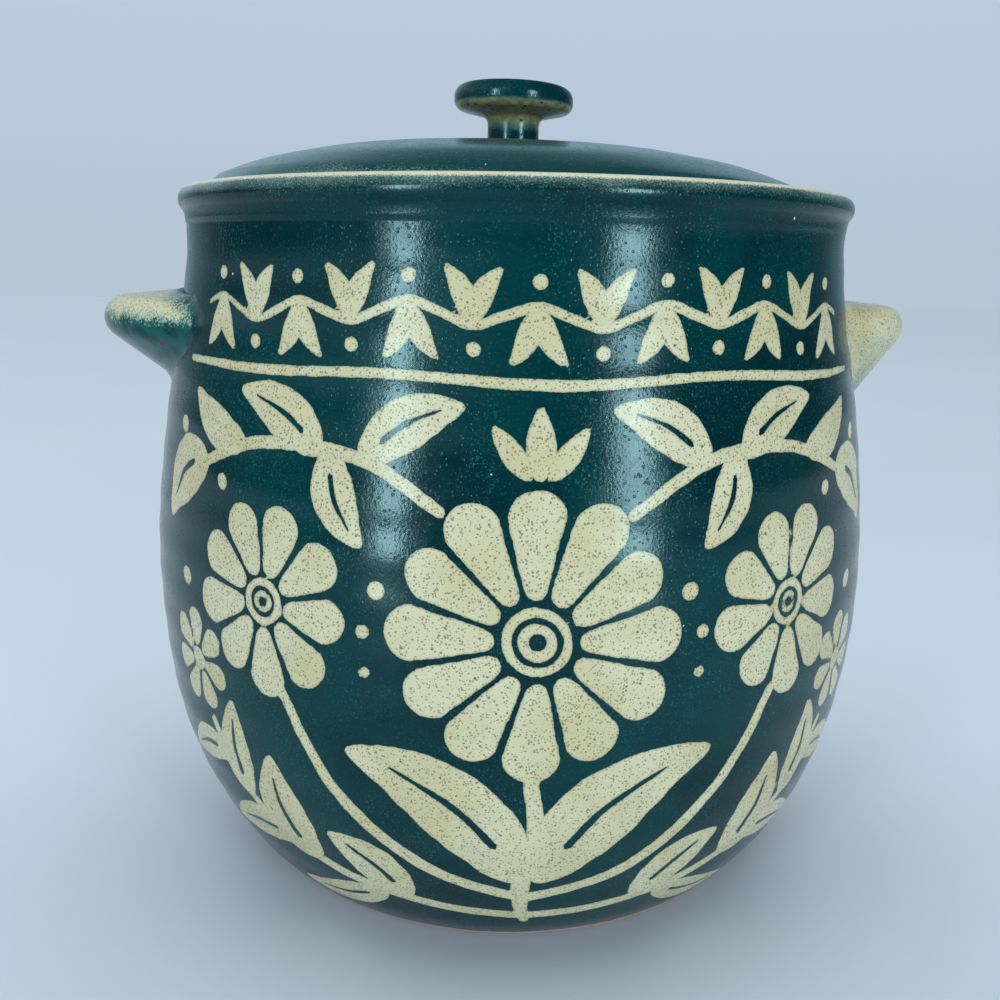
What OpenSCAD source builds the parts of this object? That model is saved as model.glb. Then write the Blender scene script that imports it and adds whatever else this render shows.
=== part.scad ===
// Lidded stoneware crock for steeping fruit: a thrown pot with a rolled rim, a half-moon lug
// on each side, and a domed lid with a turned knob that drops into a gallery in the rim.
// Millimetres, +Z up. The origin is on the axis of the pot, at the table.
// The lugs lie along X and the decorated front faces -Y.

/* [Pot body] */
// Height of the pot from the table to the top of its rim
pot_h = 219; // [200:1:260]
// Outer radius of the foot
foot_r = 82; // [70:0.5:92]
// Outer radius at the widest line of the belly
belly_r = 118.7; // [112:0.1:126]
// Height of the widest line of the belly
belly_h = 101.5; // [85:0.5:115]
// Outer radius of the neck just under the rolled rim
neck_r = 105.8; // [101:0.1:110]
// Thickness of the thrown wall
wall = 7; // [4:0.1:9]
// Thickness of the floor over the turned foot
floor_t = 6; // [4:0.1:12]
// How sharply the lower wall turns up out of the foot
foot_turn = 0.8; // [0.6:0.01:1]
// How late the lower wall comes upright on its way to the belly
belly_turn = 2.4; // [2:0.05:3]
// How quickly the shoulder draws in above the belly
shoulder_turn = 1.8; // [1.2:0.05:2.4]

/* [Turned foot] */
// Width of the ring that the pot stands on
foot_ring_w = 11; // [6:0.5:20]
// Depth of the hollow turned inside the ring
foot_hollow = 2.5; // [1:0.1:4]
// Chamfer on the outer edge of the foot
foot_chamfer = 1.4; // [0.5:0.1:2.5]

/* [Rim and gallery] */
// How far the rolled rim stands out from the neck
rim_proud = 2.1; // [1.5:0.1:3.5]
// Radius of the roll on the outside of the rim
rim_roll = 4; // [3:0.1:4.5]
// Height of the rim from the neck line to its top
rim_h = 11; // [9.5:0.1:16]
// Thickness of the rim beside the lid
rim_wall = 9; // [7.5:0.1:11]
// Radius of the soft inner edge of the rim
rim_soft = 2.5; // [1:0.1:3]
// Depth of the gallery that holds the lid
gallery_d = 7.5; // [5:0.1:12]
// Width of the ledge that the lid rests on
ledge_w = 8; // [5:0.1:12]
// Radius of the soft inner edge of the ledge
ledge_soft = 2; // [0.5:0.1:3]
// Thickness of the ledge at its inner edge
ledge_t = 3.5; // [3:0.1:6]

/* [Lid] */
// Gap between the edge of the lid and the wall of the gallery
lid_gap = 1.5; // [0.5:0.1:3]
// Height of the outer edge of the lid above its seat
lid_edge_h = 8.4; // [7:0.1:12]
// Rise of the dome above its edge
dome_rise = 14.8; // [8:0.1:30]
// Fullness of the dome: 2 is a plain arch, more is flatter on top with rounder shoulders
dome_full = 3.3; // [2:0.05:4]
// Width of the soft shoulder at the edge of the lid
lid_soft = 3.5; // [2:0.1:5]
// Radius of the soft lower edge of the lid
lid_seat_soft = 1.5; // [0.5:0.1:2]
// Thickness of the dome
lid_t = 6.5; // [4:0.1:8]
// Width of the flat band under the lid that rests on the ledge
lid_band = 12; // [9:0.5:18]

/* [Knob] */
// Height of the knob above the lid
knob_h = 20; // [18:0.1:30]
// Outer radius of the knob
knob_r = 19.35; // [16:0.05:26]
// Radius of the knob's neck
knob_neck_r = 8.4; // [6:0.1:10]
// Radius of the hollow curve where the neck meets the lid
neck_foot = 1.2; // [0.5:0.1:2]
// Radius of the hollow curve where the neck meets the cap
neck_cove = 2.8; // [1:0.1:4]
// Slope of the underside of the cap, in degrees
knob_under = 13; // [4:1:20]
// Radius of the upper edge of the cap
cap_top_soft = 3.7; // [3:0.1:5]
// Radius of the lower edge of the cap
cap_low_soft = 3; // [2:0.1:4]
// Upright stretch between the two soft edges of the cap
cap_upright = 1.2; // [0.5:0.1:3]
// Rise of the shallow crown on the cap
knob_crown = 0.9; // [0.4:0.1:1.4]
// Slope of the crown where it leaves the upper edge, in degrees
crown_slope = 8; // [7:1:12]

/* [Lug handles] */
// How far the tip of each lug stands out from the wall beside it
lug_out = 24.4; // [17:0.1:36]
// Width of each lug where it meets the wall
lug_w = 94; // [60:1:110]
// How far the tip of each lug lies below the top of the rim
lug_drop = 40; // [34:0.5:69]
// Radius of the rounded nose of each lug
lug_nose = 7; // [4:0.1:9]
// Slope of the top of each lug, down towards its tip, in degrees
lug_fall = 6; // [0:0.5:15]
// Slope of the underside of the left lug, in degrees
left_rake = 38; // [30:1:50]
// Slope of the underside of the right lug, in degrees
right_rake = 56; // [45:1:62]

/* [Hidden] */
$fn = 120;

wall_steps = 26;
arc_steps = 9;
crown_steps = 6;

floor_z = foot_hollow + floor_t;
neck_z = pot_h - rim_h;
rim_r = neck_r + rim_proud;
gallery_r = rim_r - rim_wall;
ledge_r = gallery_r - ledge_w;
ledge_z = pot_h - gallery_d;
throat_z = ledge_z - ledge_t - ledge_w - wall / 2;

lid_r = gallery_r - lid_gap;
lid_edge_z = ledge_z + lid_edge_h;
lid_hollow_r = lid_r - lid_band;
knob_base_r = knob_neck_r + neck_foot;
knob_z = dome_z(knob_base_r);
lug_h = pot_h - lug_drop;
lug_reach = outer_r(lug_h) + lug_out;

green = [0.02, 0.26, 0.27];
cream = [0.74, 0.72, 0.55];

// Points along an arc about c, from angle a to angle b
function arc(c, r, a, b, n = arc_steps) =
    [for (i = [0 : n]) let (t = a + (b - a) * i / n) [c.x + r * cos(t), c.y + r * sin(t)]];

// Points along a curve from p to q that leaves p and reaches q in line with m
function bend(p, m, q, n = arc_steps) =
    [for (i = [0 : n]) let (t = i / n) (1 - t) * (1 - t) * p + 2 * t * (1 - t) * m + t * t * q];

// Points along an S curve that is upright at both of its ends
function swing(p, q, n = arc_steps) =
    [for (i = [0 : n]) let (t = i / n) [p.x + (q.x - p.x) * (3 * t * t - 2 * t * t * t), p.y + (q.y - p.y) * t]];

// Radius of the wall between the foot line z0 and the belly
function lower_r(z, z0, foot, belly) =
    let (s = (z - z0) / (belly_h - z0)) foot + (belly - foot) * pow(1 - pow(1 - s, belly_turn), foot_turn);

// Radius of the wall between the belly and the neck
function upper_r(z, belly, neck) =
    let (t = (z - belly_h) / (neck_z - belly_h)) neck + (belly - neck) * pow(max(0, 1 - t * t), shoulder_turn);

// Outer and inner radius of the wall at height z
function outer_r(z) = z < belly_h ? lower_r(z, 0, foot_r, belly_r) : upper_r(z, belly_r, neck_r);
function inner_r(z) = z < belly_h
    ? lower_r(z, floor_z, foot_r - wall, belly_r - wall)
    : upper_r(z, belly_r - wall, neck_r - wall);

// Heights from z0 to z1, closer together near z0, where the wall turns fastest
function heights(z0, z1, gather) = [for (i = [0 : wall_steps]) z0 + (z1 - z0) * pow(i / wall_steps, gather)];

// Outside of the pot, from the edge of the foot up to the top of the rolled rim
function outside() =
    let (roll = [rim_r - rim_roll, pot_h - rim_roll],
         tuck = roll + rim_roll * [cos(-45), sin(-45)],
         neck = [neck_r, neck_z],
         cove = [neck_r, tuck.y - (tuck.x - neck_r)])
    concat([[foot_r - foot_chamfer, 0]],
           [for (z = heights(foot_chamfer, belly_h, 1.5)) [outer_r(z), z]],
           [for (i = [1 : wall_steps - 1]) let (z = belly_h + (neck_z - belly_h) * i / wall_steps) [outer_r(z), z]],
           bend(neck, cove, tuck),
           arc(roll, rim_roll, -30, 90));

// Inside of the pot, from the top of the rim down to the middle of the floor
function inside() =
    let (soft = [gallery_r + rim_soft, pot_h - rim_soft],
         edge = [ledge_r + ledge_soft, ledge_z - ledge_soft],
         nose = [ledge_r, ledge_z - ledge_t],
         throat = [inner_r(throat_z), throat_z])
    concat(arc(soft, rim_soft, 90, 180),
           [[gallery_r, ledge_z]],
           arc(edge, ledge_soft, 90, 180),
           swing(nose, throat),
           [for (i = [wall_steps - 1 : -1 : 1]) let (z = belly_h + (throat_z - belly_h) * i / wall_steps)
               [inner_r(z), z]],
           [for (z = reversed(heights(floor_z, belly_h, 1.5))) [inner_r(z), z]],
           [[0, floor_z]]);

function reversed(list) = [for (i = [len(list) - 1 : -1 : 0]) list[i]];

// Solid filled out to the outside of the pot, to cut what is luted on to its wall
module pot_form() {
    rotate_extrude() polygon(concat([[0, 0]], outside(), [[0, pot_h]]));
}

// The thrown pot with its rolled rim, gallery and turned foot
module pot_body() {
    ring_r = foot_r - foot_ring_w;
    color(green)
        rotate_extrude() polygon(concat(
            [[0, foot_hollow], [ring_r - foot_hollow, foot_hollow], [ring_r, 0]],
            outside(),
            inside()));
}

// One half-moon lug on the +X side: part of a disc that leans on the wall, cut by it
module lug(rake) {
    wall_r = outer_r(lug_h);
    chord_x = sqrt(wall_r * wall_r - lug_w * lug_w / 4);
    centre = (lug_reach * lug_reach - wall_r * wall_r) / (2 * (lug_reach - chord_x));
    disc_r = lug_reach - centre;
    nose = [disc_r - lug_nose, lug_h];
    edge = arc(nose, lug_nose, -(90 - rake), 90 - lug_fall, 14);
    low = edge[0];
    high = edge[len(edge) - 1];
    difference() {
        translate([centre, 0, 0])
            rotate_extrude() polygon(concat(
                [[0, low.y - low.x * tan(rake)]],
                edge,
                [[0, high.y + high.x * tan(lug_fall)]]));
        pot_form();
    }
}

module right_lug_handle() {
    color(cream) lug(right_rake);
}

module left_lug_handle() {
    color(cream) mirror([1, 0, 0]) lug(left_rake);
}

// Height of the dome over radius r, and its slope there in degrees
function dome_z(r) = lid_edge_z + dome_rise * (1 - pow(r / lid_r, dome_full));
function dome_slope(r) = atan(dome_rise * dome_full / lid_r * pow(r / lid_r, dome_full - 1));

// The domed lid, turned hollow inside, with a flat band that rests on the ledge
module lid_shell() {
    shoulder_r = lid_r - lid_soft;
    slope = dome_slope(shoulder_r);
    round_r = lid_soft / (1 - sin(slope));
    round_c = [lid_r - round_r, dome_z(shoulder_r) - round_r * cos(slope)];
    seat = [lid_r - lid_seat_soft, ledge_z + lid_seat_soft];
    hollow_z = dome_z(lid_hollow_r) - lid_t;
    top = [for (i = [0 : wall_steps]) let (r = knob_base_r + (shoulder_r - knob_base_r) * i / wall_steps)
        [r, dome_z(r)]];
    under_r = lid_hollow_r - lid_t / 2;
    under = [for (i = [wall_steps : -1 : 0]) let (r = under_r * i / wall_steps) [r, dome_z(r) - lid_t]];
    color(green)
        rotate_extrude() polygon(concat(
            [[0, knob_z]],
            top,
            reversed([for (p = arc(round_c, round_r, 0, 90 - slope)) if (p.x > shoulder_r + 0.01) p]),
            arc(seat, lid_seat_soft, 0, -90),
            [[lid_hollow_r, ledge_z]],
            bend([lid_hollow_r, (ledge_z + hollow_z) / 2], [lid_hollow_r, hollow_z], under[0]),
            [for (i = [1 : wall_steps]) under[i]]));
}

// The turned mushroom knob, seated on the flat at the top of the dome
module lid_knob() {
    low = [knob_r - cap_low_soft, 0];
    foot = [knob_base_r, knob_z + neck_foot];
    cap_z = knob_z + knob_h - knob_crown - cap_top_soft * cos(crown_slope);
    top_c = [knob_r - cap_top_soft, cap_z];
    low_c = [low.x, cap_z - cap_upright];
    cap_low = arc(low_c, cap_low_soft, -(90 - knob_under), 0);
    cap_top = arc(top_c, cap_top_soft, 0, 90 - crown_slope);
    under = cap_low[0];
    cove_x = knob_neck_r + neck_cove;
    cove_z = under.y - (under.x - cove_x) * tan(knob_under) - neck_cove / cos(knob_under);
    brow = cap_top[len(cap_top) - 1];
    crown = [0, brow.y + knob_crown];
    color(green)
        rotate_extrude() polygon(concat(
            [[0, knob_z]],
            arc(foot, neck_foot, -90, -180),
            arc([cove_x, cove_z], neck_cove, 180, 90 + knob_under),
            cap_low,
            cap_top,
            bend(brow, [brow.x - knob_crown / tan(crown_slope), crown.y], crown, crown_steps)));
}

pot_body();
left_lug_handle();
right_lug_handle();
lid_shell();
lid_knob();
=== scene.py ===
# A green and cream glazed fruit crock with its lid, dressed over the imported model.
import math

import bpy
import numpy as np
from mathutils import Matrix, Vector


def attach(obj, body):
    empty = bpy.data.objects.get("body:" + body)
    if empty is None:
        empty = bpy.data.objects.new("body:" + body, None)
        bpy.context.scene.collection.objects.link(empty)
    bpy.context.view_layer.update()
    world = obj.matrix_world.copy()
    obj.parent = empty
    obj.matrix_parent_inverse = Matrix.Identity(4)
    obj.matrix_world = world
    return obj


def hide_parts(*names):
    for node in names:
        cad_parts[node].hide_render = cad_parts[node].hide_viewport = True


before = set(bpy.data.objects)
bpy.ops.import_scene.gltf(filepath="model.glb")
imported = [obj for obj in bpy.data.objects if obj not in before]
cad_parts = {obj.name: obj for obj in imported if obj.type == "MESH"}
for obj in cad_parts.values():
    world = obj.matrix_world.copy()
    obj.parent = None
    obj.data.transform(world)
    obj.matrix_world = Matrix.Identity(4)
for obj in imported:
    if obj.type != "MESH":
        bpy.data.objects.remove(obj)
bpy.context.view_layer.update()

mm = 0.001
print("frame loaded:", len(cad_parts), "nodes")


# lines and skins are in mm until newPiece makes them metres
def arcPoints(centre, radius, start, end, n=10):
    turns = [math.radians(start + (end - start) * i / n) for i in range(n + 1)]
    return [(centre[0] + radius * math.cos(t), centre[1] + radius * math.sin(t)) for t in turns]


def bendPoints(start, middle, end, n=10):
    # a bend that leaves start for middle and comes into end from it
    shares = [((1 - t) ** 2, 2 * t * (1 - t), t * t) for t in (i / n for i in range(n + 1))]
    return [tuple(a * x + b * y + c * z for x, y, z in zip(start, middle, end)) for a, b, c in shares]


def evenly(points, step):
    # the same line with its points no further apart than step
    out = [points[0]]
    for a, b in zip(points[:-1], points[1:]):
        n = max(1, math.ceil(math.dist(a, b) / step))
        out += [(a[0] + (b[0] - a[0]) * i / n, a[1] + (b[1] - a[1]) * i / n) for i in range(1, n + 1)]
    return out


def newPiece(name, verts, faces, body, node, material):
    mesh = bpy.data.meshes.new(name)
    mesh.from_pydata([tuple(v) for v in np.asarray(verts) * mm], [], faces)
    mesh.update()
    mesh.shade_smooth()
    mesh.materials.append(material)
    piece = bpy.data.objects.new(name, mesh)
    bpy.context.scene.collection.objects.link(piece)
    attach(piece, body)
    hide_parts(node)
    return piece


def paint(piece, name, values):
    # one number for each vertex, which the glazes read by its name
    stored = piece.data.attributes.new(name, "FLOAT", "POINT")
    stored.data.foreach_set("value", np.asarray(values, np.float32))


def spin(profile, turns):
    # closed skin of a turned form; the profile runs from the axis back to the axis
    n = len(turns)
    verts, faces, rows = [], [], []
    for r, z in profile:
        if r < 1e-6:
            rows.append([len(verts)] * n)
            verts.append((0.0, 0.0, z))
        else:
            rows.append(list(range(len(verts), len(verts) + n)))
            verts += [(r * math.sin(t), -r * math.cos(t), z) for t in turns]
    for low, high in zip(rows[:-1], rows[1:]):
        for i in range(n):
            j = (i + 1) % n
            ring = [low[i], low[j], high[j], high[i]]
            faces.append([v for k, v in enumerate(ring) if v not in ring[:k]])
    return np.array(verts), faces, rows


evenTurns = [2 * math.pi * i / 240 for i in range(240)]


def perRow(rows, values, count):
    # spreads one number per profile point over the vertices of its row
    out = np.zeros(count)
    for row, value in zip(rows, values):
        out[row] = value
    return out


def newMaterial(name):
    material = bpy.data.materials.new(name)
    material.use_nodes = True
    return material, material.node_tree


def add(tree, kind, inputs=None, **settings):
    # a node with its settings made and its inputs set, or linked where an output is given
    made = tree.nodes.new(kind)
    for key, value in settings.items():
        setattr(made, key, value)
    for key, value in (inputs or {}).items():
        if isinstance(value, bpy.types.NodeSocket):
            tree.links.new(value, made.inputs[key])
        else:
            made.inputs[key].default_value = value
    return made


def maths(tree, operation, a, b=0.0, c=0.0):
    return add(tree, "ShaderNodeMath", {0: a, 1: b, 2: c}, operation=operation).outputs[0]


def noise(tree, where, scale, detail=2.0, roughness=0.5):
    return add(tree, "ShaderNodeTexNoise", {"Vector": where, "Scale": scale, "Detail": detail,
                                            "Roughness": roughness}).outputs["Fac"]


def stray(tree, where, scale, spread, detail=3, roughness=0.5):
    # noise about nothing and spread wide in all, which makes an edge ragged
    return maths(tree, "MULTIPLY_ADD", noise(tree, where, scale, detail, roughness), spread, -spread / 2)


def remap(tree, value, low, high, start=0.0, end=1.0, soft=True):
    return add(tree, "ShaderNodeMapRange", {0: value, 1: low, 2: high, 3: start, 4: end},
               interpolation_type="SMOOTHSTEP" if soft else "LINEAR").outputs[0]


def blend(tree, factor, a, b):
    return add(tree, "ShaderNodeMix", {0: factor, 6: a, 7: b}, data_type="RGBA").outputs[2]


def layer(tree, name):
    return add(tree, "ShaderNodeAttribute", attribute_name=name).outputs["Fac"]


def dots(tree, where, scale, size, share):
    # round soft dots, one to a cell at most, in the given share of the cells
    cells = add(tree, "ShaderNodeTexVoronoi", {"Vector": where, "Scale": scale, "Randomness": 1.0})
    apart = add(tree, "ShaderNodeSeparateColor", {0: cells.outputs["Color"]})
    kept = maths(tree, "LESS_THAN", apart.outputs[0], share)
    radius = maths(tree, "MULTIPLY_ADD", apart.outputs[1], size * 0.7, size * 0.5)
    near = remap(tree, maths(tree, "DIVIDE", cells.outputs["Distance"], radius), 1.1, 0.7)
    return maths(tree, "MULTIPLY", near, kept)


greens = {"deep": (0.0001, 0.016, 0.020, 1), "main": (0.0002, 0.029, 0.033, 1),
          "speck": (0.012, 0.12, 0.125, 1), "pinhole": (0.62, 0.72, 0.72, 1), "mist": (0.10, 0.26, 0.25, 1),
          "neck": (0.035, 0.10, 0.085, 1)}
creams = {"main": (0.505, 0.50, 0.34, 1), "warm": (0.455, 0.43, 0.255, 1), "fleck": (0.09, 0.075, 0.035, 1),
          "edge": (0.20, 0.24, 0.15, 1), "breaking": (0.25, 0.34, 0.29, 1), "lip": (0.60, 0.60, 0.47, 1)}
clays = {"main": (0.42, 0.30, 0.25, 1), "dark": (0.26, 0.175, 0.145, 1), "iron": (0.04, 0.022, 0.015, 1),
         "dirt": (0.10, 0.085, 0.075, 1)}
olives = {"dark": (0.095, 0.125, 0.07, 1), "tan": (0.20, 0.20, 0.105, 1), "spot": (0.012, 0.012, 0.008, 1)}
runs = {"light": (0.008, 0.075, 0.072, 1), "dark": (0.001, 0.038, 0.042, 1), "misty": (0.22, 0.34, 0.27, 1)}
gloss = {"green": 0.16, "cream": 0.24, "clay": 0.85, "pot": 0.22, "lid": 1.0, "lug": 0.12}


def greenColour(tree, where):
    drift = noise(tree, where, 22, 3)
    base = blend(tree, remap(tree, drift, 0.35, 0.68), greens["deep"], greens["main"])
    cluster = remap(tree, noise(tree, where, 70, 2), 0.38, 0.72)
    grain = remap(tree, noise(tree, where, 1900, 2, 0.6), 0.54, 0.74)
    specks = maths(tree, "MULTIPLY", grain, maths(tree, "MULTIPLY_ADD", cluster, 0.8, 0.2))
    base = blend(tree, specks, base, greens["speck"])
    return blend(tree, dots(tree, where, 95, 0.035, 0.35), base, greens["pinhole"])


def creamColour(tree, where):
    base = blend(tree, remap(tree, noise(tree, where, 45, 3), 0.35, 0.7), creams["main"], creams["warm"])
    # flecks are bent a little out of round
    shift = add(tree, "ShaderNodeTexNoise", {"Vector": where, "Scale": 2600.0, "Detail": 1.0})
    bent = add(tree, "ShaderNodeVectorMath", {0: shift.outputs["Color"], 1: (0.00028,) * 3, 2: where},
               operation="MULTIPLY_ADD").outputs[0]
    few = maths(tree, "MULTIPLY", dots(tree, bent, 430, 0.17, 0.6), 0.8)
    many = maths(tree, "MULTIPLY", dots(tree, bent, 1350, 0.40, 0.9), 0.7)
    base = blend(tree, many, base, creams["fleck"])
    return blend(tree, few, base, creams["fleck"])


def glazeSurface(tree, where, colour, creamMask, bare=None, shine=gloss["pot"]):
    # glass over clay: a shade rougher where it is cream, uneven, with pits, and matt where the clay is bare
    shader = tree.nodes["Principled BSDF"]
    tree.links.new(colour, shader.inputs["Base Color"])
    glossy = remap(tree, creamMask, 0.0, 1.0, gloss["green"], gloss["cream"], False)
    worn = remap(tree, noise(tree, where, 160, 3), 0.3, 0.7, 0.85, 1.2)
    pits = dots(tree, where, 800, 0.32, 0.6)
    smooth = maths(tree, "MULTIPLY_ADD", pits, 0.12, maths(tree, "MULTIPLY", glossy, worn))
    rough = add(tree, "ShaderNodeMix", {0: bare, 2: smooth, 3: gloss["clay"]}).outputs[0] if bare else smooth
    tree.links.new(rough, shader.inputs["Roughness"])
    shader.inputs["Specular IOR Level"].default_value = shine
    shader.inputs["Specular Tint"].default_value = (0.6, 0.95, 1, 1)
    skin = noise(tree, where, 1300, 2)
    height = maths(tree, "MULTIPLY_ADD", pits, -1.5, skin)
    bump = add(tree, "ShaderNodeBump", {"Strength": 0.2, "Distance": 0.0002, "Height": height})
    tree.links.new(bump.outputs[0], shader.inputs["Normal"])


def potGlaze():
    # green over the wall, cream where the motifs and the rim show it, bare clay under the foot
    material, tree = newMaterial("pot glaze")
    where = add(tree, "ShaderNodeTexCoord").outputs["Object"]
    wobble = stray(tree, where, 240, 0.8)
    ragged = stray(tree, where, 1600, 0.4, 2)
    drawn = maths(tree, "MINIMUM", layer(tree, "stems"), layer(tree, "leaves"))
    veinAway = maths(tree, "ABSOLUTE", layer(tree, "veinSide"))
    offVein = maths(tree, "SUBTRACT", veinAway, layer(tree, "veinWidth"))
    drawn = maths(tree, "MAXIMUM", drawn, maths(tree, "MULTIPLY", offVein, -1.0))
    away = maths(tree, "ADD", drawn, maths(tree, "ADD", wobble, ragged))
    motif = remap(tree, away, 0.12, -0.12)
    edge = maths(tree, "MULTIPLY", remap(tree, away, -0.7, 0.0), 0.45)
    grain = stray(tree, where, 2300, 2.4, 2, 0.7)
    wander = stray(tree, where, 38, 0.9)
    thinness = layer(tree, "thin")
    uneven = maths(tree, "ADD", grain, wander)
    thin = remap(tree, maths(tree, "ADD", thinness, uneven), 0.5, 1.25, 0.0, 0.8)
    inside = layer(tree, "inside")
    green = greenColour(tree, where)
    cream = creamColour(tree, where)
    colour = blend(tree, motif, green, blend(tree, edge, cream, creams["edge"]))
    mist = maths(tree, "MULTIPLY", remap(tree, maths(tree, "ADD", thinness, wander), 0.35, 1.15), 0.38)
    colour = blend(tree, mist, colour, greens["mist"])
    colour = blend(tree, maths(tree, "MULTIPLY", thin, 0.7), colour, creams["breaking"])
    lip = maths(tree, "MULTIPLY_ADD", uneven, 0.12, thinness)
    colour = blend(tree, remap(tree, lip, 0.84, 0.95), colour, blend(tree, 0.6, cream, creams["lip"]))
    colour = blend(tree, inside, colour, cream)
    drips = stray(tree, where, 90, 0.9)
    bare = remap(tree, maths(tree, "ADD", layer(tree, "bare"), drips), 0.45, 0.55)
    clay = blend(tree, noise(tree, where, 700, 4, 0.65), clays["dark"], clays["main"])
    colour = blend(tree, bare, colour, clay)
    glazeSurface(tree, where, colour, maths(tree, "MAXIMUM", motif, inside), bare)
    return material


def lidGlaze():
    # green, worn thin round the edge, over a cream underside
    material, tree = newMaterial("lid glaze")
    where = add(tree, "ShaderNodeTexCoord").outputs["Object"]
    grain = stray(tree, where, 1700, 1.7, 2, 0.7)
    wander = maths(tree, "MULTIPLY_ADD", noise(tree, where, 23, 2), 2.2, -1.3)
    broken = maths(tree, "ADD", layer(tree, "thin"), maths(tree, "ADD", grain, wander))
    thin = remap(tree, broken, 0.6, 1.2, 0.0, 0.6)
    inside = layer(tree, "inside")
    green = blend(tree, 0.2, greenColour(tree, where), greens["speck"])
    colour = blend(tree, thin, green, creams["breaking"])
    colour = blend(tree, inside, colour, creamColour(tree, where))
    glazeSurface(tree, where, colour, inside, shine=gloss["lid"])
    return material


def knobGlaze():
    # green that thins to olive and tan under the cap, where the clay shows through
    material, tree = newMaterial("knob glaze")
    where = add(tree, "ShaderNodeTexCoord").outputs["Object"]
    thin = layer(tree, "thin")
    olive = blend(tree, remap(tree, noise(tree, where, 500, 3), 0.35, 0.65), olives["dark"], olives["tan"])
    olive = blend(tree, dots(tree, where, 380, 0.24, 0.7), olive, olives["spot"])
    wander = stray(tree, where, 170, 0.7)
    grain = stray(tree, where, 1500, 0.6, 2, 0.7)
    shade = maths(tree, "ADD", maths(tree, "ADD", thin, wander), grain)
    colour = blend(tree, remap(tree, shade, 0.05, 0.45), greenColour(tree, where), greens["neck"])
    colour = blend(tree, remap(tree, shade, 0.3, 0.85), colour, olive)
    glazeSurface(tree, where, colour, thin)
    return material


def lugGlaze():
    # cream that has run down into green, as far as the green attribute says, which also holds painted shade
    # on the underside and rear of each lug
    material, tree = newMaterial("lug glaze")
    where = add(tree, "ShaderNodeTexCoord").outputs["Object"]
    wander = stray(tree, where, 120, 0.7, 4, 0.6)
    grain = stray(tree, where, 1400, 1.3, 3, 0.7)
    broken = maths(tree, "ADD", layer(tree, "green"), maths(tree, "ADD", wander, grain))
    cover = remap(tree, broken, 0.25, 0.8)
    green = blend(tree, remap(tree, noise(tree, where, 200, 3), 0.4, 0.6), runs["light"], runs["dark"])
    misty = blend(tree, remap(tree, cover, 0.0, 0.5), creamColour(tree, where), runs["misty"])
    # the green here is partly glaze and partly painted shade, where the green attribute marks the lug's
    # shaded faces
    colour = blend(tree, remap(tree, cover, 0.35, 0.95), misty, green)
    glazeSurface(tree, where, colour, maths(tree, "SUBTRACT", 1.0, cover), shine=gloss["lug"])
    return material


# motifs are drawn on the wall rolled out flat, in mm across from the middle of the front and up the wall
far = 60.0          # past every motif


def brush(points, widths):
    # a stroke through a few points as pairs of a flat place and a half width, rounded at its ends
    points = [np.array(p, float) for p in points]
    fine = []
    for i in range(len(points) - 1):
        before = points[max(i - 1, 0)]
        after = points[min(i + 2, len(points) - 1)]
        for k in range(8):
            t = k / 8
            a, b = points[i], points[i + 1]
            lean, leave = (b - before) / 2, (after - a) / 2
            fine.append((2 * t**3 - 3 * t * t + 1) * a + (t**3 - 2 * t * t + t) * lean
                        + (3 * t * t - 2 * t**3) * b + (t**3 - t * t) * leave)
    fine.append(points[-1])
    along = np.linspace(0, 1, len(fine))
    half = np.interp(along, np.linspace(0, 1, len(widths)), widths)
    return fine, half


def strokeDistance(flat, stroke):
    # how far each flat place lies outside the stroke, less than nothing where it is inside
    fine, half = stroke
    if len(fine) == 1:
        return np.hypot(*(flat - fine[0]).T) - half[0]
    best = np.full(len(flat), far)
    for a, b, ra, rb in zip(fine[:-1], fine[1:], half[:-1], half[1:]):
        run = b - a
        t = np.clip((flat - a) @ run / max(run @ run, 1e-9), 0, 1)
        gap = flat - a - t[:, None] * run
        best = np.minimum(best, np.hypot(gap[:, 0], gap[:, 1]) - (ra + (rb - ra) * t))
    return best


def lineSides(flat, line):
    # distance from a thin line, signed by its side, and the line's half width there, negative far off
    fine, half = line
    best = np.full(len(flat), far)
    signed, width = best.copy(), -best
    last = len(fine) - 2
    for i, (a, b) in enumerate(zip(fine[:-1], fine[1:])):
        run = b - a
        long = math.sqrt(run @ run)
        t = (flat - a) @ run / long**2
        over = np.maximum(0, np.maximum(-t if i == 0 else -1, t - 1 if i == last else -1)) * long
        gap = flat - a - np.clip(t, 0, 1)[:, None] * run
        away = np.hypot(gap[:, 0], gap[:, 1])
        side = np.sign(run[0] * (flat[:, 1] - a[1]) - run[1] * (flat[:, 0] - a[0]))
        wide = half[i] + (half[i + 1] - half[i]) * np.clip(t, 0, 1) - np.maximum(0, away - 2)
        near = away < best
        best = np.where(near, away, best)
        signed = np.where(near, away * side, signed)
        width = np.where(near, wide - 1.5 * over, width)
    return signed, width


def bowed(root, tip, sway, shares):
    # points on a line from root to tip that bows to one side by sway
    root, tip = np.array(root, float), np.array(tip, float)
    run = tip - root
    side = np.array([-run[1], run[0]]) / np.hypot(*run)
    return [root + run * t + side * sway * 4 * t * (1 - t) for t in shares]


def leafStroke(root, tip, sway, width):
    widths = [w * width for w in (0.16, 0.72, 0.97, 1.0, 0.82, 0.5, 0.1)]
    return brush(bowed(root, tip, sway, (0, 0.25, 0.5, 0.75, 1)), widths)


def veinStroke(root, tip, sway, width):
    return brush(bowed(root, tip, sway, (0.22, 0.5, 0.82)), [width, width * 0.9, width * 0.3])


def ringSides(flat, middle, radius, dot, half):
    # a ring left green round a green dot; the side turns over between the two, so that neither breaks up
    out = np.hypot(flat[:, 0] - middle[0], flat[:, 1] - middle[1])
    turn = (radius + dot) / 2
    signed = np.where(out > turn, out - radius, np.minimum(dot - out, 0.3))
    return signed, half - np.maximum(0, out - radius - 2)


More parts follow.
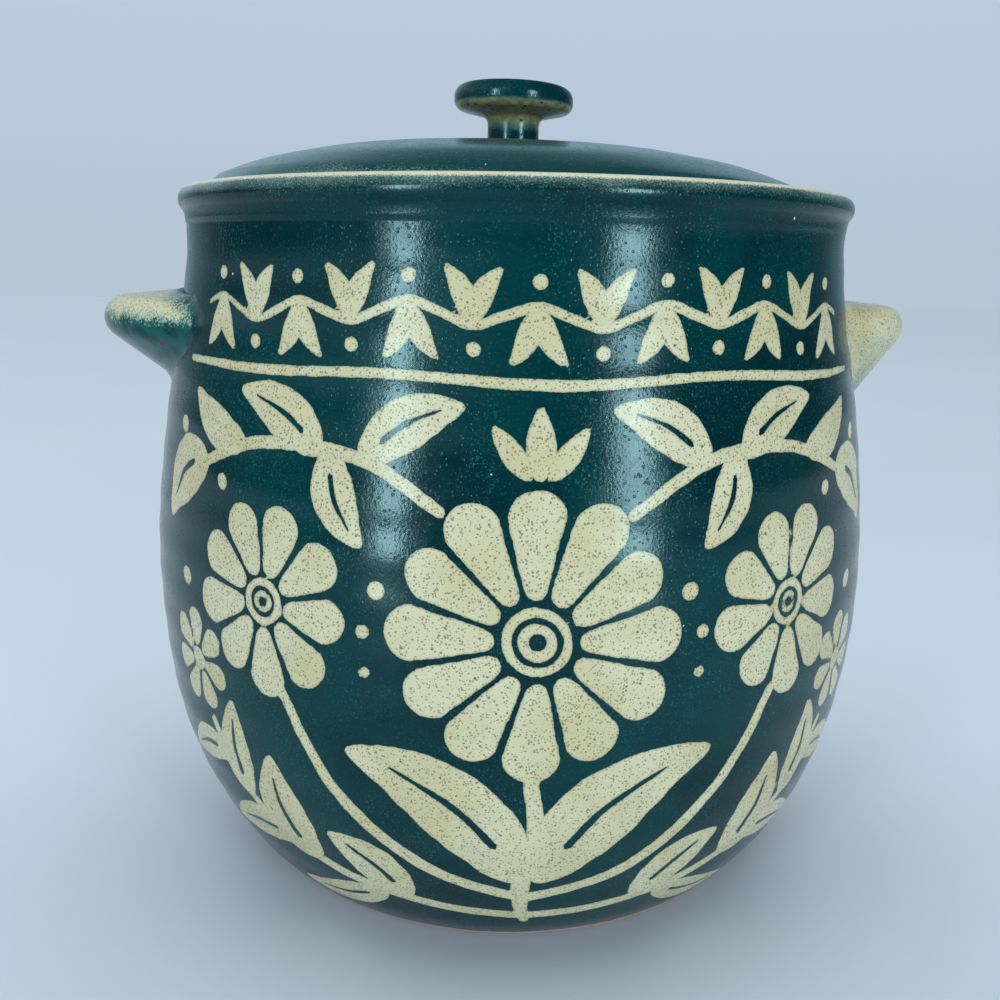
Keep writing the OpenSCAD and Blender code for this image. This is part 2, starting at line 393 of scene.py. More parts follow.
def daisy(middle, reach, petals, heart, turn=0.0):
    # round-ended petals about a heart, every other one on the second layer
    middle = np.array(middle, float)
    layers = [[brush([middle], [heart])], []]
    for i in range(petals):
        a = turn + 2 * math.pi * i / petals
        out = np.array([math.sin(a), math.cos(a)])
        inner, outer = heart + 0.12 * reach, reach * (1 + 0.03 * math.sin(2.3 * i))
        share = math.sin(math.pi / petals)
        wide = (outer * share - 0.75) / (1 + share)
        near = max(0.9, inner * share - 0.75)
        layers[i % 2].append(brush([middle + out * inner, middle + out * (outer - wide)], [near, wide]))
    return layers


def sprig(side):
    # everything that stands once on the left and once on the right
    stems, leaves, veins = [], [], []

    def stem(points, widths):
        stems.append(brush([(side * x, y) for x, y in points], widths))

    def leaf(root, tip, sway, width, vein=0.0):
        root, tip = (side * root[0], root[1]), (side * tip[0], tip[1])
        leaves.append(leafStroke(root, tip, side * sway, width))
        if vein:
            veins.append(veinStroke(root, tip, side * sway, vein))

    # low branch along the foot
    stem([(1, 13), (26, 16), (54, 24), (84, 42), (103, 66)], [2.3, 2.2, 2.0, 1.8, 1.4])
    leaf((33, 18), (57, 41), 3, 7.5, 0.9)
    leaf((40, 19), (71, 9), -4, 7.0, 0.9)
    leaf((62, 28), (77, 63), -4, 9.0, 1.0)
    leaf((70, 33), (102, 25), 4, 7.5, 0.9)
    leaf((87, 45), (92, 76), -3, 7.0, 0.9)
    leaf((97, 56), (121, 48), 3, 6.5, 0.8)
    # stem of the side flower, with the large leaf over it
    stem([(1, 24), (28, 35), (54, 58), (70, 86)], [2.1, 2.0, 1.8, 1.6])
    leaf((3, 33), (49, 72), 8, 12.0, 1.2)
    # upper arch from behind the middle flower
    stem([(24, 138), (46, 150), (76, 152), (104, 142)], [1.6, 1.8, 1.7, 1.3])
    leaf((44, 149), (19, 164), -3, 6.6, 0.8)
    leaf((57, 151), (84, 165), 3, 6.8, 0.8)
    leaf((53, 151), (45, 128), 3, 6.4, 0.8)
    leaf((83, 151), (108, 162), -3, 6.0)
    leaf((102, 143), (126, 124), 5, 9.0, 1.0)
    for x, y, r in ((117, 151, 2.6), (93, 139, 2.3), (41, 117, 2.4), (45, 106, 1.9), (44, 95, 1.6),
                    (113, 108, 2.8)):
        stems.append(brush([(side * x, y)], [r]))
    for flower in (((side * 76, 110), 27, 9, 6.5, 0.3), ((side * 109, 84), 15.5, 7, 3.6, 0.0)):
        first, second = daisy(*flower)
        stems += first
        leaves += second
    return stems, leaves, veins


def drawMotifs(flat):
    # distance in mm to the cream edge of two layers and to the veins left green, for every flat place
    stems, leaves, veins = [], [], []
    # border: a waving stem with paired leaves and dots, over a plain line
    stems.append(brush([(-114, 170.0), (-60, 171.2), (0, 170.3), (60, 171.0), (113, 169.8)],
                       [0.9, 1.35, 1.25, 1.4, 1.2, 1.35, 0.8]))
    borderUp = 186.5
    wave = [(-104 + 8 * i, borderUp + 2.6 * math.sin(i * math.pi / 2)) for i in range(27)]
    stems.append(brush(wave, [0.7, 1.25, 1.2, 1.25, 0.7]))
    for i in range(-6, 7):
        up = 1 if i % 2 else -1
        for way, here in ((-1, stems), (1, leaves)):
            tip = (16 * i + 7 * way, borderUp + 11.5 * up)
            here.append(leafStroke((16 * i, borderUp - 2.6 * up), tip, 1.2 * up * way, 3.0))
        leaves.append(brush([(16 * i, borderUp - 8.5 * up)], [1.9]))
    # the middle flower, its stem and the three leaves over it
    stems.append(brush([(1, 9), (-1.5, 30), (1.5, 52), (0, 70)], [1.3, 2.7, 2.4, 2.0]))
    first, second = daisy((0, 107), 38, 12, 9.0)
    stems += first
    leaves += second
    for tip, width, here in (((0, 165), 3.8, stems), ((-12, 160), 3.0, leaves), ((12, 160), 3.0, leaves)):
        here.append(leafStroke((tip[0] * 0.2, 147.5), tip, 0, width))
    for side in (-1, 1):
        for strokes, more in zip((stems, leaves, veins), sprig(side)):
            strokes += more
    drawn = {"stems": np.min([strokeDistance(flat, stroke) for stroke in stems], axis=0),
             "leaves": np.min([strokeDistance(flat, stroke) for stroke in leaves], axis=0)}
    side, width = np.full(len(flat), far), np.full(len(flat), -far)
    left = [lineSides(flat, line) for line in veins]
    left += [ringSides(flat, (0, 107), 5.8, 1.6, 0.75)]
    left += [ringSides(flat, (x, 110), 3.7, 0.9, 0.6) for x in (-76, 76)]
    for here, wide in left:
        near = np.abs(here) < np.abs(side)
        side, width = np.where(near, here, side), np.where(near, wide, width)
    return drawn | {"veinSide": side, "veinWidth": width}


# the pot in mm, as in the solids; the turns give its curves their shape
form = {"height": 219, "foot": 82, "belly": 118.7, "bellyUp": 101.5, "neck": 105.8, "wall": 7, "floor": 6,
        "footTurn": 0.8, "bellyTurn": 2.4, "shoulderTurn": 1.8, "ring": 11, "hollow": 2.5, "chamfer": 1.4,
        "proud": 2.1, "roll": 4, "rim": 11, "rimWall": 9, "rimSoft": 2.5, "gallery": 7.5, "ledge": 8,
        "ledgeSoft": 2, "ledgeThick": 3.5, "glazeUp": 2.4, "glazeThick": 0.3}
neckUp = form["height"] - form["rim"]
rimOut = form["neck"] + form["proud"]
galleryIn = rimOut - form["rimWall"]
ledgeUp = form["height"] - form["gallery"]
floorUp = form["hollow"] + form["floor"]


def wallRadius(z, inner=False):
    shrink = form["wall"] if inner else 0
    low = floorUp if inner else 0
    foot, belly, neck = form["foot"] - shrink, form["belly"] - shrink, form["neck"] - shrink
    if z < form["bellyUp"]:
        s = (z - low) / (form["bellyUp"] - low)
        return foot + (belly - foot) * (1 - (1 - s) ** form["bellyTurn"]) ** form["footTurn"]
    t = (z - form["bellyUp"]) / (neckUp - form["bellyUp"])
    return neck + (belly - neck) * max(0.0, 1 - t * t) ** form["shoulderTurn"]


rings = {"fine": 0.09, "fineEvery": 2.1, "broad": 0.14, "broadEvery": 9.5}


def ringDepth(angle, z):
    # thrower's rings: the wall draws in by a hair between them
    fine = rings["fine"] * (1 + np.sin(z / rings["fineEvery"] + 1.4 * np.sin(angle + z / 60)))
    return fine + rings["broad"] * (1 + np.sin(z / rings["broadEvery"] + np.sin(angle * 2)))


def potOutside():
    # from the line where the glaze ends to the top of the rolled rim
    span = form["bellyUp"] - form["glazeUp"]
    low = [form["glazeUp"] + span * (i / 60) ** 1.5 for i in range(61)]
    high = [form["bellyUp"] + (neckUp - form["bellyUp"]) * i / 60 for i in range(1, 61)]
    roll = (rimOut - form["roll"], form["height"] - form["roll"])
    slant = form["roll"] * math.sin(math.radians(45))
    tuck = (roll[0] + slant, roll[1] - slant)
    cove = (form["neck"], tuck[1] - (tuck[0] - form["neck"]))
    wall = [(wallRadius(z), z) for z in low + high[:-2]]
    return wall + bendPoints(wall[-1], cove, tuck, 14)[1:] + arcPoints(roll, form["roll"], -38, 90, 26)


rimPoints = 12          # of the soft edge from the rim into the gallery


def potInside():
    # from the top of the rim down the gallery and the inner wall to the middle of the floor
    soft = (galleryIn + form["rimSoft"], form["height"] - form["rimSoft"])
    edge = (galleryIn - form["ledge"] + form["ledgeSoft"], ledgeUp - form["ledgeSoft"])
    nose = (galleryIn - form["ledge"], ledgeUp - form["ledgeThick"])
    throatUp = nose[1] - form["ledge"] - form["wall"] / 2
    throat = wallRadius(throatUp, True)
    under = [(nose[0] + (throat - nose[0]) * (3 * t * t - 2 * t**3), nose[1] + (throatUp - nose[1]) * t)
             for t in (i / 12 for i in range(13))]
    walls = [throatUp - (throatUp - floorUp) * (1 - (1 - i / 34) ** 1.4) for i in range(1, 35)]
    return (arcPoints(soft, form["rimSoft"], 90, 180, rimPoints)
            + [(galleryIn, ledgeUp + 0.6), (galleryIn - 0.6, ledgeUp)]
            + arcPoints(edge, form["ledgeSoft"], 90, 180, 8) + under
            + [(wallRadius(z, True), z) for z in walls] + [(50.0, floorUp), (25.0, floorUp), (0.0, floorUp)])


# how far round and up the motifs reach, and where the glaze thins at the lip and ends at the foot
painted = {"side": 88, "top": 206, "aside": 3, "limit": 12.0, "lip": 212.6, "fade": 5.9, "footFade": 1.6,
           "step": 1.45, "turnStep": 0.75, "backTurns": 63}


def makePot():
    # one closed skin, with finer turns where the motifs are drawn
    seam, lift = wallRadius(form["glazeUp"]), form["hollow"] + 1
    under = [(0.0, lift), (40.0, lift), (seam - 3, lift), (seam - 1, form["glazeUp"])]
    outside = evenly(potOutside(), painted["step"])
    inside = potInside()
    profile = under + outside + inside
    side, step, backTurns = painted["side"], painted["turnStep"], painted["backTurns"]
    fine = [math.radians(-side + step * i) for i in range(int(2 * side / step) + 1)]
    coarse = [math.radians(side + (359.5 - 2 * side) * i / backTurns) for i in range(1, backTurns)]
    verts, faces, rows = spin(profile, fine + coarse)
    up = np.zeros(len(profile))         # way up the outside of the wall, in step with height at the belly
    run = 0.0
    first = len(under)
    for i in range(first + 1, first + len(outside)):
        run += math.dist(profile[i - 1], profile[i])
        up[i] = run
    belly = min(range(first, first + len(outside)), key=lambda i: abs(profile[i][1] - form["bellyUp"]))
    up[first:first + len(outside)] += form["bellyUp"] - up[belly]
    onWall = np.zeros(len(profile), bool)
    onWall[first:first + len(outside)] = True
    angle = np.arctan2(verts[:, 0], -verts[:, 1])
    ringed = [1.0 if w and 3 < p[1] < neckUp else 0.0 for w, p in zip(onWall, profile)]
    wallShare = perRow(rows, ringed, len(verts))
    z = verts[:, 2]
    radius = np.hypot(verts[:, 0], verts[:, 1])
    scale = 1 - wallShare * ringDepth(angle, z) / np.maximum(radius, 1)
    verts[:, 0] *= scale
    verts[:, 1] *= scale
    piece = newPiece("glazed_pot", verts, faces, "pot", "pot_body", potGlaze())
    # the motifs
    vUp = perRow(rows, up, len(verts))
    outer = perRow(rows, onWall.astype(float), len(verts)) > 0
    front = outer & (np.abs(angle) < math.radians(side)) & (z < painted["top"])
    # set a little to the left
    flat = np.stack([(angle[front] + math.radians(painted["aside"])) * radius[front], vUp[front]], 1)
    flat[:, 0] += 0.5 * np.sin(flat[:, 1] / 9 + flat[:, 0] / 31)        # an unsteady hand
    flat[:, 1] += 0.6 * np.sin(flat[:, 0] / 13 + 1.1)
    for name, values in drawMotifs(flat).items():
        limit = painted["limit"]
        drawn = np.full(len(verts), -limit if name == "veinWidth" else limit)
        drawn[front] = np.clip(values, -limit, limit)
        paint(piece, name, drawn)
    # how thin the green lies over the cream: all gone along the top of the rim
    thin = [min(1.0, max(0.0, (p[1] - painted["lip"]) / painted["fade"])) if w else 0.0
            for p, w in zip(profile, onWall)]
    top = first + len(outside)
    thin[top:top + rimPoints + 1] = [1.0] * (rimPoints + 1)
    paint(piece, "thin", perRow(rows, thin, len(verts)))
    inner = [1.0 if i > top + 8 else 0.0 for i in range(len(profile))]
    paint(piece, "inside", perRow(rows, inner, len(verts)))
    bare = [max(0.0, 1 - (p[1] - form["glazeUp"]) / painted["footFade"]) if w or i < first else 0.0
            for i, (p, w) in enumerate(zip(profile, onWall))]
    paint(piece, "bare", perRow(rows, bare, len(verts)))
    return piece


def clayBody():
    # unglazed stoneware, turned smooth, with iron specks and a little table dirt on the ring
    material, tree = newMaterial("bare clay")
    where = add(tree, "ShaderNodeTexCoord").outputs["Object"]
    colour = blend(tree, noise(tree, where, 700, 4, 0.65), clays["dark"], clays["main"])
    iron = maths(tree, "MULTIPLY", dots(tree, where, 420, 0.2, 0.5), 0.8)
    dirt = remap(tree, noise(tree, where, 35, 4), 0.52, 0.75, 0.0, 0.5)
    colour = blend(tree, iron, colour, clays["iron"])
    colour = blend(tree, dirt, colour, clays["dirt"])
    shader = tree.nodes["Principled BSDF"]
    tree.links.new(colour, shader.inputs["Base Color"])
    shader.inputs["Roughness"].default_value = gloss["clay"]
    grit = noise(tree, where, 1500, 3)
    bump = add(tree, "ShaderNodeBump", {"Strength": 0.5, "Distance": 0.0003, "Height": grit})
    tree.links.new(bump.outputs[0], shader.inputs["Normal"])
    return material


def makeFoot():
    # turned foot ring with the shallow hollow inside it, a glaze's thickness in from the glazed wall
    ring = form["foot"] - form["ring"]
    thin = form["glazeThick"]
    seam = wallRadius(form["glazeUp"]) - thin
    inner = ring - form["hollow"]
    profile = [(0.0, form["hollow"])] + [(inner - 58 * (1 - i / 10), form["hollow"]) for i in range(11)]
    profile += arcPoints((inner + 0.2, form["hollow"] - 0.9), 0.9, 90, 45, 4)
    profile += arcPoints((ring + 0.5, 0.7), 0.7, 225, 270, 4)
    outer = form["foot"] - form["chamfer"] - thin
    profile += [(outer - 0.4, 0.0), (outer, 0.15), (wallRadius(form["chamfer"]) - thin, form["chamfer"]),
                (seam, form["glazeUp"] + 0.3), (seam - 3, form["hollow"] + 1.2), (0.0, form["hollow"] + 1.2)]
    verts, faces, rows = spin(profile, evenTurns)
    # shallow marks of the turning tool in the hollow
    radius = np.hypot(verts[:, 0], verts[:, 1])
    hollow = (radius < inner - 1) & (verts[:, 2] < form["hollow"] + 0.5)
    verts[hollow, 2] += 0.12 * (1 + np.sin(radius[hollow] / 1.9))
    return newPiece("bare_foot", verts, faces, "pot", "pot_body", clayBody())


lid = {"gap": 1.5, "edge": 8.4, "rise": 14.8, "full": 3.3, "soft": 3.5, "seatSoft": 1.5, "thick": 6.5,
       "band": 12, "aside": -1.2, "lean": 1.4, "sag": 0.8, "sagAt": 0.47, "sagWide": 0.33, "ring": 0.10,
       "ringEvery": 3.4}
lidOut = galleryIn - lid["gap"]
lidEdgeUp = ledgeUp + lid["edge"]


def domeUp(r):
    return lidEdgeUp + lid["rise"] * (1 - (r / lidOut) ** lid["full"])


def makeLid():
    shoulder = lidOut - lid["soft"]
    slope = math.atan(lid["rise"] * lid["full"] / lidOut * (shoulder / lidOut) ** (lid["full"] - 1))
    roundR = lid["soft"] / (1 - math.sin(slope))
    roundAt = (lidOut - roundR, domeUp(shoulder) - roundR * math.cos(slope))
    top = [(r, domeUp(r)) for r in (shoulder * i / 60 for i in range(61))]
    edge = arcPoints(roundAt, roundR, 90 - math.degrees(slope), 0, 16)[1:]
    seat = arcPoints((lidOut - lid["seatSoft"], ledgeUp + lid["seatSoft"]), lid["seatSoft"], 0, -90, 8)
    hollow = lidOut - lid["band"]
    hollowUp = domeUp(hollow) - lid["thick"]
    underR = hollow - lid["thick"] / 2
    under = [(r, domeUp(r) - lid["thick"]) for r in (underR * (1 - i / 20) for i in range(21))]
    cove = bendPoints((hollow, (ledgeUp + hollowUp) / 2), (hollow, hollowUp), under[0], 8)
    band = [(hollow + 0.6, ledgeUp), (hollow, ledgeUp + 0.6)]
    profile = top + edge + seat + band + cove + under[1:]
    profile = profile[::-1]          # from below, so that the skin faces out
    verts, faces, rows = spin(profile, evenTurns)
    z = verts[:, 2]
    angle = np.arctan2(verts[:, 0], -verts[:, 1])
    radius = np.hypot(verts[:, 0], verts[:, 1])
    domed = perRow(rows, [1.0 if p in top else 0.0 for p in profile], len(verts))
    # thrower's rings, which die out towards the knob and towards the edge
    depth = lid["ring"] * (1 + np.sin(radius / lid["ringEvery"] + np.sin(angle)))
    depth *= np.clip((radius - 14) / 10, 0, 1) * np.clip((shoulder - radius) / 12, 0, 1)
    verts[:, 2] -= domed * depth
    # thrown a little fuller on the left, and pushed a little that way in its seat
    shoulders = np.clip((z - ledgeUp - 3) / 5, 0, 1) * (radius / lidOut) ** 1.5
    verts[:, 2] -= lid["lean"] * np.sin(angle) * shoulders
    sag = lid["sag"] * np.exp(-((radius / lidOut - lid["sagAt"]) / lid["sagWide"]) ** 2)
    verts[:, 2] -= domed * sag * np.clip((shoulder - radius) / 14, 0, 1)
    verts[:, 0] += lid["aside"]
    piece = newPiece("domed_lid", verts, faces, "lid", "lid_shell", lidGlaze())
    thin = [max(-1.0, 1 - abs(p[0] - lidOut) / 8) if p in top or p in edge else 0.0 for p in profile]
    paint(piece, "thin", perRow(rows, thin, len(verts)))
    inner = [1.0 if p not in top and p not in edge else 0.0 for p in profile]
    paint(piece, "inside", perRow(rows, inner, len(verts)))
    return piece


knob = {"height": 19.8, "radius": 19.35, "neck": 8.4, "foot": 1.2, "cove": 2.8, "under": 13, "topSoft": 3.7,
        "lowSoft": 3, "upright": 1.2, "crown": 0.9, "crownSlope": 8, "lean": 1.5}


def makeKnob():
    base = knob["neck"] + knob["foot"]
    up = domeUp(base)
    crownSlope, underSlope = math.radians(knob["crownSlope"]), math.radians(knob["under"])
    capUp = up + knob["height"] - knob["crown"] - knob["topSoft"] * math.cos(crownSlope)
    lowAt = (knob["radius"] - knob["lowSoft"], capUp - knob["upright"])
    low = arcPoints(lowAt, knob["lowSoft"], -(90 - knob["under"]), 0, 14)
    topAt = (knob["radius"] - knob["topSoft"], capUp)
    top = arcPoints(topAt, knob["topSoft"], 0, 90 - knob["crownSlope"], 16)
    coveX = knob["neck"] + knob["cove"]
    coveUp = low[0][1] - (low[0][0] - coveX) * math.tan(underSlope) - knob["cove"] / math.cos(underSlope)
    brow = top[-1]
    crown = (0.0, brow[1] + knob["crown"])
    footArc = arcPoints((base, up + knob["foot"]), knob["foot"], -90, -180, 8)
    coveArc = arcPoints((coveX, coveUp), knob["cove"], 180, 90 + knob["under"], 10)
    # its foot goes half a millimetre into the lid, as luted clay does
    profile = ([(0.0, up - 0.5), (base + 0.25, up - 0.5)] + footArc
               + evenly([footArc[-1], coveArc[0]], 0.8)[1:] + coveArc[1:]
               + evenly([coveArc[-1], low[0]], 0.8)[1:] + low[1:] + top
               + bendPoints(brow, (brow[0] - knob["crown"] / math.tan(crownSlope), crown[1]), crown, 12)[1:])
    verts, faces, rows = spin(profile, evenTurns[::2])
    lean = math.radians(knob["lean"]) * np.clip((verts[:, 2] - up) / knob["height"] * 3, 0, 1)
    verts[:, 2] -= verts[:, 0] * np.sin(lean)
    verts[:, 0] += lid["aside"]
    piece = newPiece("turned_knob", verts, faces, "lid", "lid_knob", knobGlaze())
    # thin glaze from the cove to the lower edge of the cap
    heights = np.array([p[1] for p in profile])
    thin = np.clip((heights - coveUp + 3.0) / 5.0, 0, 1) * np.clip((lowAt[1] - 0.5 - heights) / 1.2, 0, 1)
    paint(piece, "thin", perRow(rows, thin, len(verts)))
    return piece


lugs = {"reach": 133.45, "width": 94, "height": 179, "nose": 7, "fall": 6, "luting": 4.0}
rays = {"across": 110, "around": 72, "tilt": 84, "past": 0.085, "under": 26, "inset": 4, "deep": 5,
        "far": 60.0}
# where each lug turns green, partly glaze run down and partly painted shade low and towards the back
onLeft = {"side": -1, "rake": 38, "start": 7.0, "fade": 10.0, "seam": 10.0, "seamShare": 0.8, "rear": 60.0}
onRight = {"side": 1, "rake": 56, "start": -3.0, "fade": 30.0, "seam": 1.6, "seamShare": 0.4, "rear": 16.0}


def lugDistance(places, rake):
    # flat-topped wedge spun about its own upright axis, rounded at the nose
    wallR = wallRadius(lugs["height"])
    chordX = math.sqrt(wallR**2 - lugs["width"] ** 2 / 4)
    centre = (lugs["reach"] ** 2 - wallR**2) / (2 * (lugs["reach"] - chordX))
    out = np.hypot(places[:, 0] - centre, places[:, 1]) - (lugs["reach"] - centre - lugs["nose"])
    up = places[:, 2] - lugs["height"]
    fall, lean = math.radians(lugs["fall"]), math.radians(rake)
    over = out * math.sin(fall) + up * math.cos(fall)
    below = out * math.sin(lean) - up * math.cos(lean)
    # beyond both faces the nearest point is the nose
    alongTop = out * math.cos(fall) - up * math.sin(fall)
    alongLow = out * math.cos(lean) + up * math.sin(lean)
    nose = (alongTop > 0) & (alongLow > 0)
    return np.where(nose, np.hypot(out, up), np.maximum(over, below)) - lugs["nose"]


def wallDistance(places, side, wallTable):
    # a shade under the real wall, so that the luting runs out into it
    radius = np.hypot(places[:, 0], places[:, 1])
    wall = np.interp(places[:, 2], wallTable[:, 1], wallTable[:, 0])
    lean = np.interp(places[:, 2], wallTable[:, 1], wallTable[:, 2])
    angle = np.arctan2(side * places[:, 0], -side * places[:, 1])
    return (radius - wall + ringDepth(angle, places[:, 2]) + 0.2) * lean


def lutedDistance(places, side, rake, wallTable):
    a, b = lugDistance(places, rake), wallDistance(places, side, wallTable)
    k = lugs["luting"]
    h = np.clip(0.5 + 0.5 * (b - a) / k, 0, 1)
    return b + (a - b) * h - k * h * (1 - h)


def makeLug(name, node, own):
    # the skin is where rays from inside the wall leave the luted lug
    side, rake = own["side"], own["rake"]
    heights = np.linspace(60, 206, 300)
    radii = np.array([wallRadius(z) for z in heights])
    wallTable = np.stack([radii, heights, 1 / np.hypot(1, np.gradient(radii, heights))], 1)
    # rays fan out from a line just inside the wall, to above and below the lug
    across, around = rays["across"], rays["around"]
    spread = math.asin(lugs["width"] / 2 / wallRadius(lugs["height"])) + rays["past"]
    starts, ways = [], []
    lowest = lugs["height"] - (lugs["nose"] + rays["under"]) / math.tan(math.radians(rake)) * 0.9
    for i in range(across + 1):
        turn = spread * math.sin(math.pi / 2 * (2 * i / across - 1))
        share = math.cos(math.asin(min(1.0, abs(turn) / spread)))
        depth = max(5.0, (lugs["height"] + 7 - lowest) * share * 0.5)
        middle = lugs["height"] + 5 - depth * 0.75
        inR = wallRadius(middle) - rays["inset"]
        start = np.array([inR * math.cos(turn), inR * math.sin(turn), middle])
        outward = np.array([math.cos(turn), math.sin(turn), 0.0])
        for k in range(around + 1):
            tilt = math.radians(rays["tilt"] * (2 * k / around - 1))
            starts.append(start)
            ways.append(outward * math.cos(tilt) + np.array([0, 0, math.sin(tilt)]))
    starts, ways = np.array(starts), np.array(ways)
    # halve the stretch that holds the surface, never going deep into the wall
    near, off = np.zeros(len(starts)), np.full(len(starts), rays["far"])
    for _ in range(26):
        half = (near + off) / 2
        tried = starts + ways * half[:, None]
        inside = lutedDistance(tried, side, rake, wallTable) < 0
        inside &= wallDistance(tried, side, wallTable) > -rays["deep"]
        near, off = np.where(inside, half, near), np.where(inside, off, half)
    skin = starts + ways * near[:, None]
    n = around + 1
    faces = []
    for i in range(across):
        for k in range(around):
            a = i * n + k
            faces.append([a, a + n, a + n + 1, a + 1])
    # closed behind by a strip inside the wall
    back = len(skin)
    hidden = starts[::n]
    points = np.concatenate([skin, hidden])
    for i in range(across):
        low, high = i * n, i * n + around
        faces.append([back + i, back + i + 1, low + n, low])
        faces.append([high, high + n, back + i + 1, back + i])
    faces.append([back, *range(n)])
    faces.append([back + across, *reversed(range(across * n, across * n + n))])
    points[:, 0] *= side
    points[:, 1] *= side
    piece = newPiece(name, points, faces, "pot", node, lugGlaze())
    z, out = points[:, 2], np.hypot(points[:, 0], points[:, 1])
    wallR = np.interp(z, wallTable[:, 1], wallTable[:, 0])
    # green low on the lug, along the seam and towards the back: partly glaze run down, partly painted shade
    # on the lug's underside and rear, set apart for the left and the right lug
    low = np.clip((lugs["height"] + own["start"] - z) / own["fade"], 0, 1)
    seam = np.clip(1 - (out - wallR) / own["seam"], 0, 1) * own["seamShare"]
    rear = np.clip((points[:, 1] - own["rear"] + 1.1 * (lugs["height"] - z)) / 24, 0, 1)
    paint(piece, "green", np.maximum.reduce([low, seam, rear]))
    return piece


pot = makePot()
foot = makeFoot()
print("pot and foot:", len(pot.data.polygons) + len(foot.data.polygons), "faces")
dome = makeLid()
cap = makeKnob()
print("lid and knob:", len(dome.data.polygons) + len(cap.data.polygons), "faces")
leftLug = makeLug("left_lug", "left_lug_handle", onLeft)
rightLug = makeLug("right_lug", "right_lug_handle", onRight)
print("lugs:", len(leftLug.data.polygons) + len(rightLug.data.polygons), "faces")

# front is the colour of the painted shade on the table towards the eye
table = {"base": (0.485, 0.59, 0.69, 1), "cloud": (0.52, 0.625, 0.725, 1), "back": (0.475, 0.575, 0.68, 1),
         "front": (0.34, 0.41, 0.48, 1), "rough": 0.45, "shine": 0.25, "down": 0.0003}


def makeFloor():
    # a pale table, evened out towards the horizon, with painted shade towards the eye
    material, tree = newMaterial("pale table")
    where = add(tree, "ShaderNodeTexCoord").outputs["Object"]
    base = blend(tree, noise(tree, where, 3, 2), table["base"], table["cloud"])
    back = add(tree, "ShaderNodeSeparateXYZ", {0: where}).outputs[1]
    base = blend(tree, remap(tree, back, 0.5, 3.0), base, table["back"])
    # painted shade: the table darkens from half a metre in front of the pot onwards
    base = blend(tree, remap(tree, back, -0.5, -2.0), base, table["front"])
    shader = tree.nodes["Principled BSDF"]
    tree.links.new(base, shader.inputs["Base Color"])
    shader.inputs["Roughness"].default_value = table["rough"]
    shader.inputs["Specular IOR Level"].default_value = table["shine"]
    mesh = bpy.data.meshes.new("table")
    mesh.from_pydata([(-4, -3, 0), (4, -3, 0), (4, 5, 0), (-4, 5, 0)], [], [(0, 1, 2, 3)])
    mesh.materials.append(material)
    floor = bpy.data.objects.new("table", mesh)
    bpy.context.scene.collection.objects.link(floor)
    floor.location.z = -table["down"]


sky = {"low": (0.465, 0.565, 0.665, 1), "high": (0.50, 0.60, 0.745, 1), "tint": (0.30, 0.56, 0.68, 1),
       "bright": (0.66, 0.84, 0.95, 1), "dark": (0.02, 0.045, 0.055, 1)}


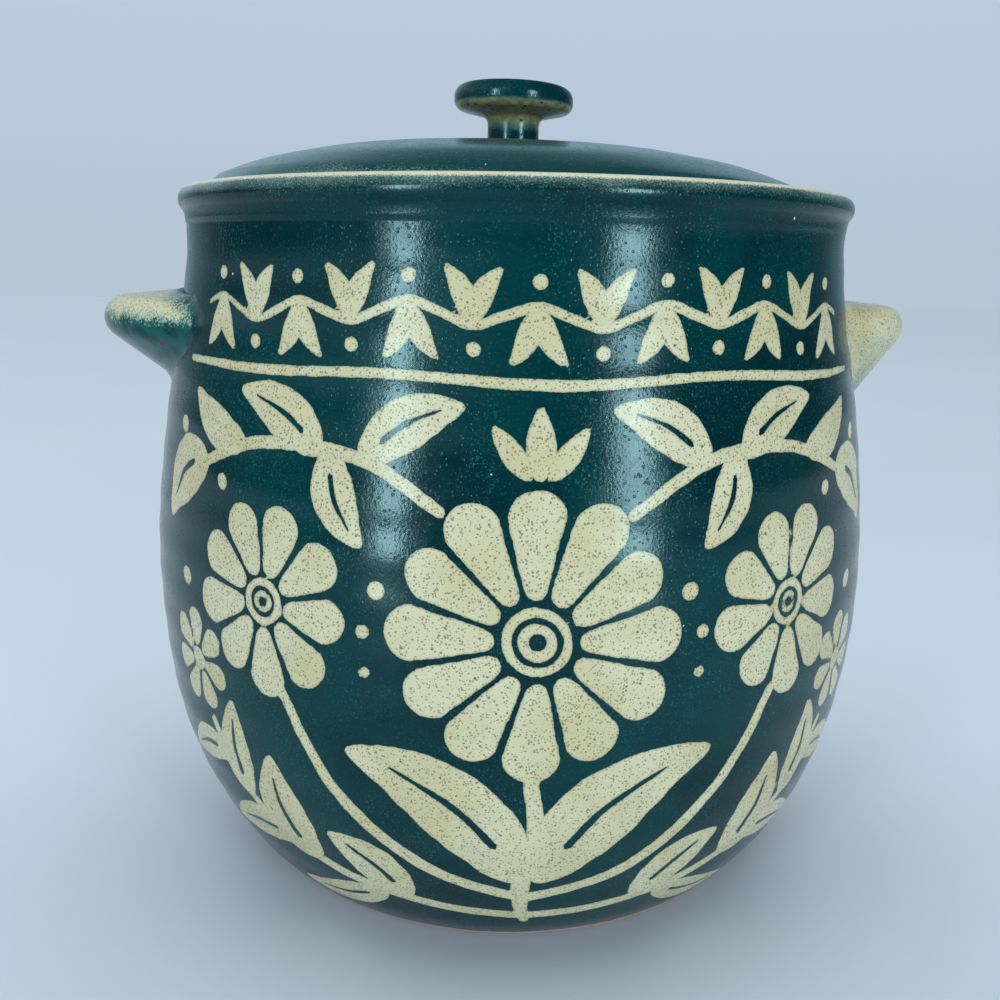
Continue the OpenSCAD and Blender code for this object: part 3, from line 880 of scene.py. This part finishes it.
def makeWorld():
    # white soft light; what the eye and the glaze see of it is pale blue behind and darker in front
    world = bpy.data.worlds.new("studio")
    bpy.context.scene.world = world
    world.use_nodes = True
    tree = world.node_tree
    ray = add(tree, "ShaderNodeLightPath")
    shiny = ray.outputs["Is Glossy Ray"]
    seen = maths(tree, "MAXIMUM", shiny, ray.outputs["Is Transmission Ray"])
    seen = maths(tree, "MAXIMUM", ray.outputs["Is Camera Ray"], seen)
    where = add(tree, "ShaderNodeSeparateXYZ", {0: add(tree, "ShaderNodeTexCoord").outputs["Generated"]})
    across, back, up = where.outputs
    pale = blend(tree, remap(tree, up, 0.0, 0.22), sky["low"], sky["high"])
    pale = blend(tree, maths(tree, "MULTIPLY", shiny, 0.5), pale, sky["tint"])
    shown = maths(tree, "MULTIPLY", remap(tree, back, 0.2, 1.1), remap(tree, up, 0.62, 0.38))
    shown = maths(tree, "MULTIPLY", shown, 0.9)
    shown = maths(tree, "MAXIMUM", shown, maths(tree, "SUBTRACT", 1.0, shiny))
    # a brighter part high on the left, which the lid shows
    bright = maths(tree, "MULTIPLY", remap(tree, across, 0.05, -0.5), remap(tree, up, 0.06, 0.22))
    bright = maths(tree, "MULTIPLY", bright, maths(tree, "MULTIPLY", shiny, remap(tree, up, 0.95, 0.5)))
    pale = blend(tree, bright, pale, sky["bright"])
    shown = maths(tree, "MAXIMUM", shown, bright)
    colour = blend(tree, seen, (1, 1, 1, 1), blend(tree, shown, sky["dark"], pale))
    light = maths(tree, "MULTIPLY", remap(tree, up, 0.0, 0.95, 0.1, 1.75),
                  remap(tree, back, -0.8, 0.6, 0.3, 1.25))
    strength = add(tree, "ShaderNodeMix", {0: seen, 2: light, 3: 1.0}).outputs[0]
    studio = tree.nodes["Background"]
    tree.links.new(colour, studio.inputs["Color"])
    tree.links.new(strength, studio.inputs["Strength"])


lamps = {"away": 2.4, "up": 0.4, "height": 0.9, "aim": (0, 0, 0.13), "colour": (0.88, 0.96, 1.0)}


def addLamp(name, azimuth, width, power):
    # a soft upright panel, azimuth in degrees from the front of the pot
    light = bpy.data.lights.new(name, "AREA")
    light.shape = "RECTANGLE"
    light.size, light.size_y = width, lamps["height"]
    light.energy = power
    light.color = lamps["colour"]
    lamp = bpy.data.objects.new(name, light)
    a = math.radians(azimuth)
    lamp.location = (lamps["away"] * math.sin(a), -lamps["away"] * math.cos(a), lamps["up"])
    lamp.rotation_mode = "QUATERNION"
    lamp.rotation_quaternion = (Vector(lamps["aim"]) - lamp.location).to_track_quat("-Z", "Y")
    bpy.context.scene.collection.objects.link(lamp)


shot = {"heading": -6, "away": 0.36332, "aside": 0.00335, "up": 0.1981, "tilt": 12.78, "roll": 1.02,
        "lens": 37.8}


def makeCamera():
    # from a little to the left of the middle, level with the neck and looking down
    data = bpy.data.cameras.new("camera")
    data.lens = shot["lens"]
    data.sensor_width = 36
    camera = bpy.data.objects.new("camera", data)
    bpy.context.scene.collection.objects.link(camera)
    heading = math.radians(shot["heading"])
    look = Vector((-math.sin(heading), math.cos(heading), 0))
    side = Vector((math.cos(heading), math.sin(heading), 0))
    camera.location = -look * shot["away"] - side * shot["aside"] + Vector((0, 0, shot["up"]))
    turn = Matrix.Rotation(heading, 4, "Z") @ Matrix.Rotation(math.radians(90 - shot["tilt"]), 4, "X")
    camera.rotation_mode = "QUATERNION"
    camera.rotation_quaternion = (turn @ Matrix.Rotation(math.radians(shot["roll"]), 4, "Z")).to_quaternion()
    data.clip_start = 0.02
    bpy.context.scene.camera = camera


makeFloor()
makeWorld()
addLamp("left window", -41, 0.32, 29)
addLamp("right window", 30, 0.43, 34)
makeCamera()
bpy.context.scene.view_settings.view_transform = "Standard"
print("lights and camera set")
